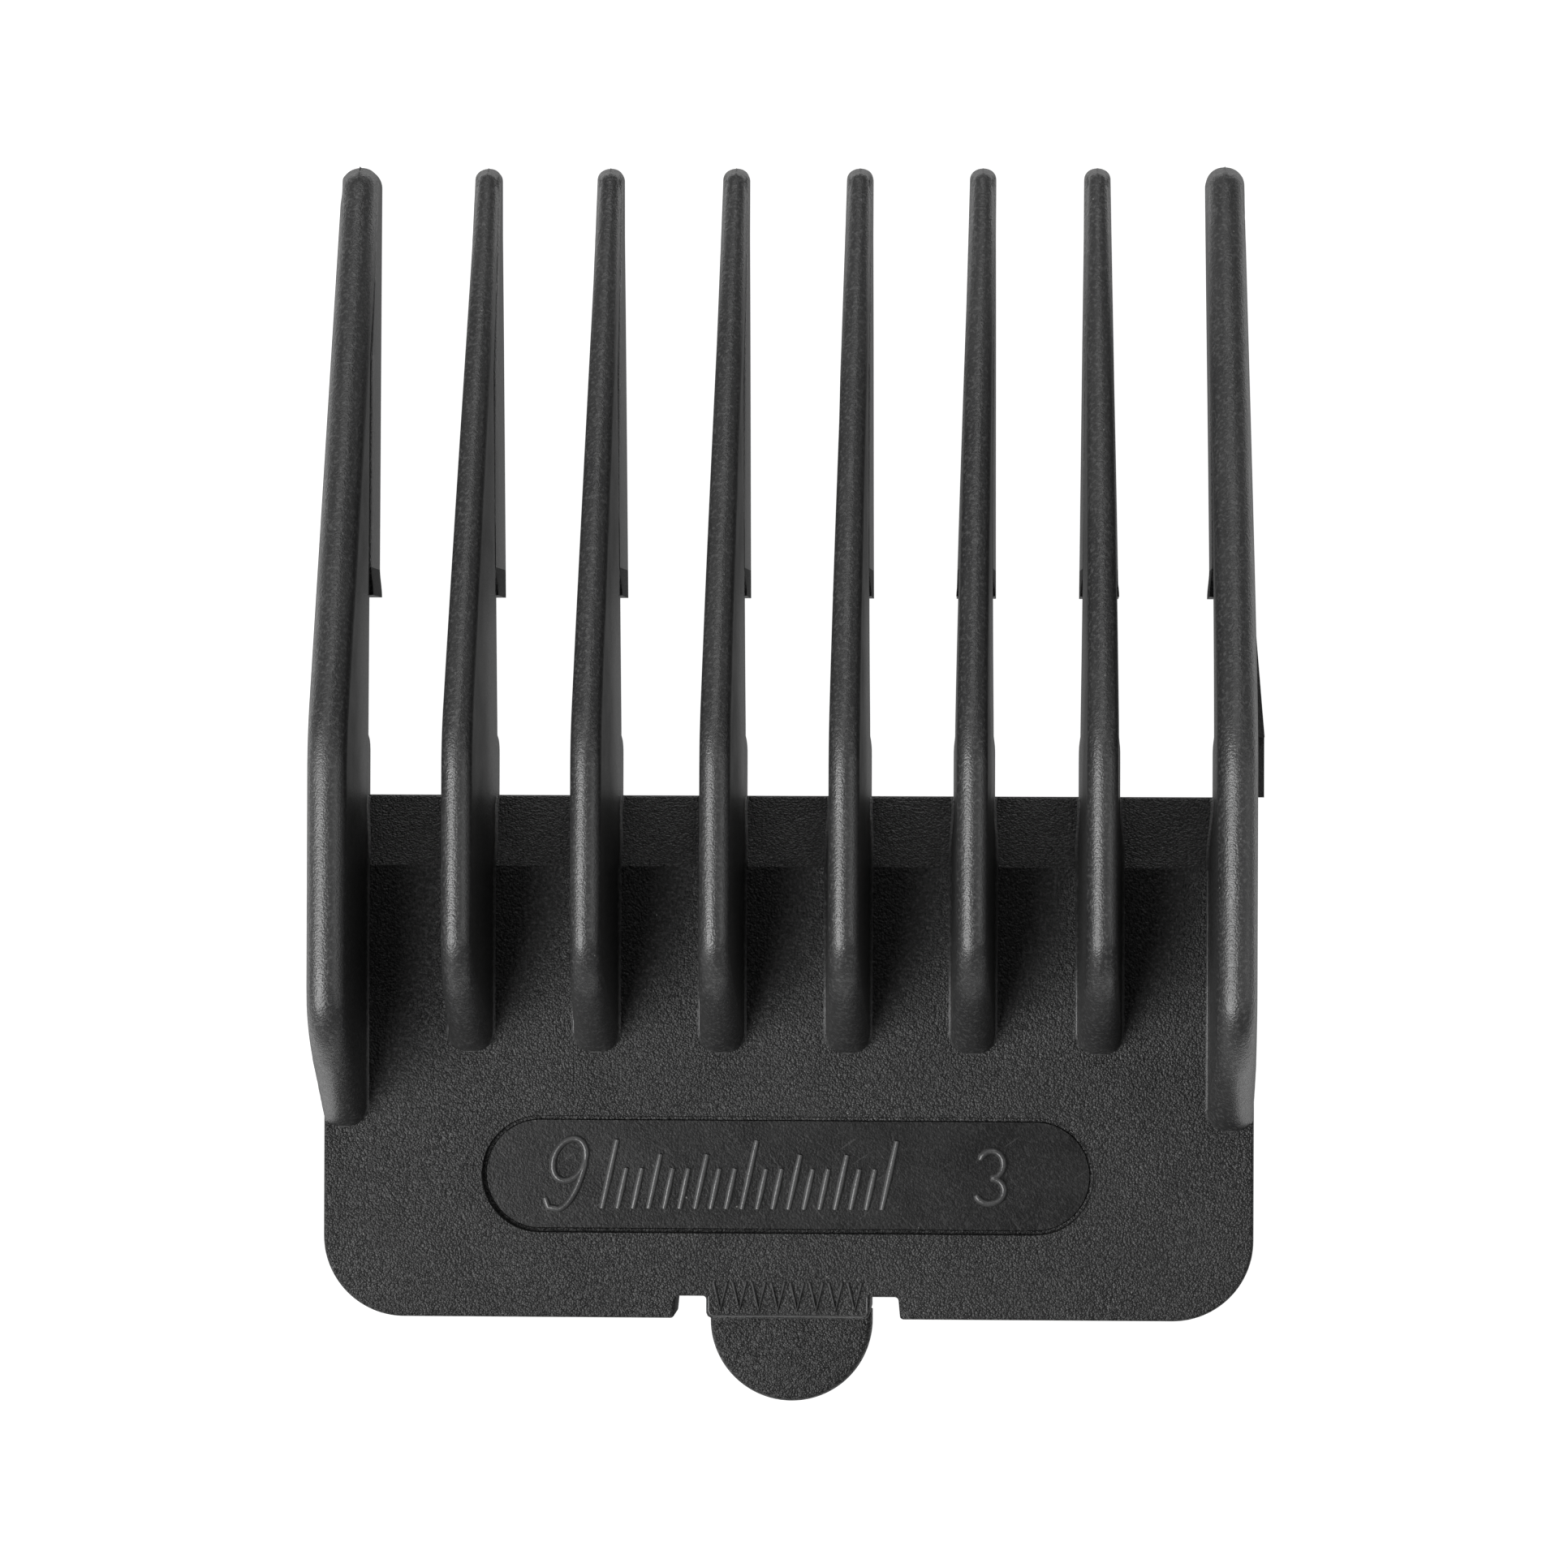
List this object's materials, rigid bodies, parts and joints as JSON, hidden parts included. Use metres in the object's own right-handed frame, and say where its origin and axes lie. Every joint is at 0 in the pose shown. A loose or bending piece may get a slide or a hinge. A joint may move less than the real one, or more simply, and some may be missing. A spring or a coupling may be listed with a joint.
{
  "type": "hair clipper guide comb",
  "caption": "Clip-on guide comb for a hair clipper: tapered parallel rails on a deck plate, with a living-hinge thumb latch.",
  "frame": {"origin": "centre of the bounding box in plan, on the plane the comb stands on, which holds the undersides of the rail noses and the side skirts", "axes": "+Y from the thumb pad to the rail tips, +Z from the blade seat to the rail tops, +X across the rails"},
  "size_m": [0.0472, 0.062, 0.016],
  "materials": {
    "grained_plastic": "fine spark-eroded grain",
    "satin_plastic": "satin"
  },
  "bodies": {
    "comb": {"comb_plate": "grained_plastic", "front_lip": "grained_plastic", "outer_rail_left": "satin_plastic", "outer_rail_right": "satin_plastic", "rail_1": "satin_plastic", "rail_2": "satin_plastic", "rail_3": "satin_plastic", "rail_4": "satin_plastic", "rail_5": "satin_plastic", "rail_6": "satin_plastic", "seat_rib_1": "grained_plastic", "seat_rib_2": "grained_plastic", "seat_rib_3": "grained_plastic", "seat_rib_4": "grained_plastic", "seat_rib_5": "grained_plastic", "seat_rib_6": "grained_plastic", "side_skirt_left": "grained_plastic", "side_skirt_right": "grained_plastic", "side_guide_left": "satin_plastic", "side_guide_right": "satin_plastic", "rear_wall_left": "grained_plastic", "rear_wall_right": "grained_plastic", "living_hinge": "satin_plastic"},
    "latch": {"latch_wall": "grained_plastic", "thumb_pad": "grained_plastic", "catch_hook": "satin_plastic"}
  },
  "joints": [
    {"name": "latch_release", "type": "hinge", "parent": "comb", "child": "latch", "pos_m": [0, -0.02605, 0.00575], "axis": [-1, 0, 0], "range_deg": [0, 12], "stiffness_Nm_per_rad": 0.05}
  ]
}
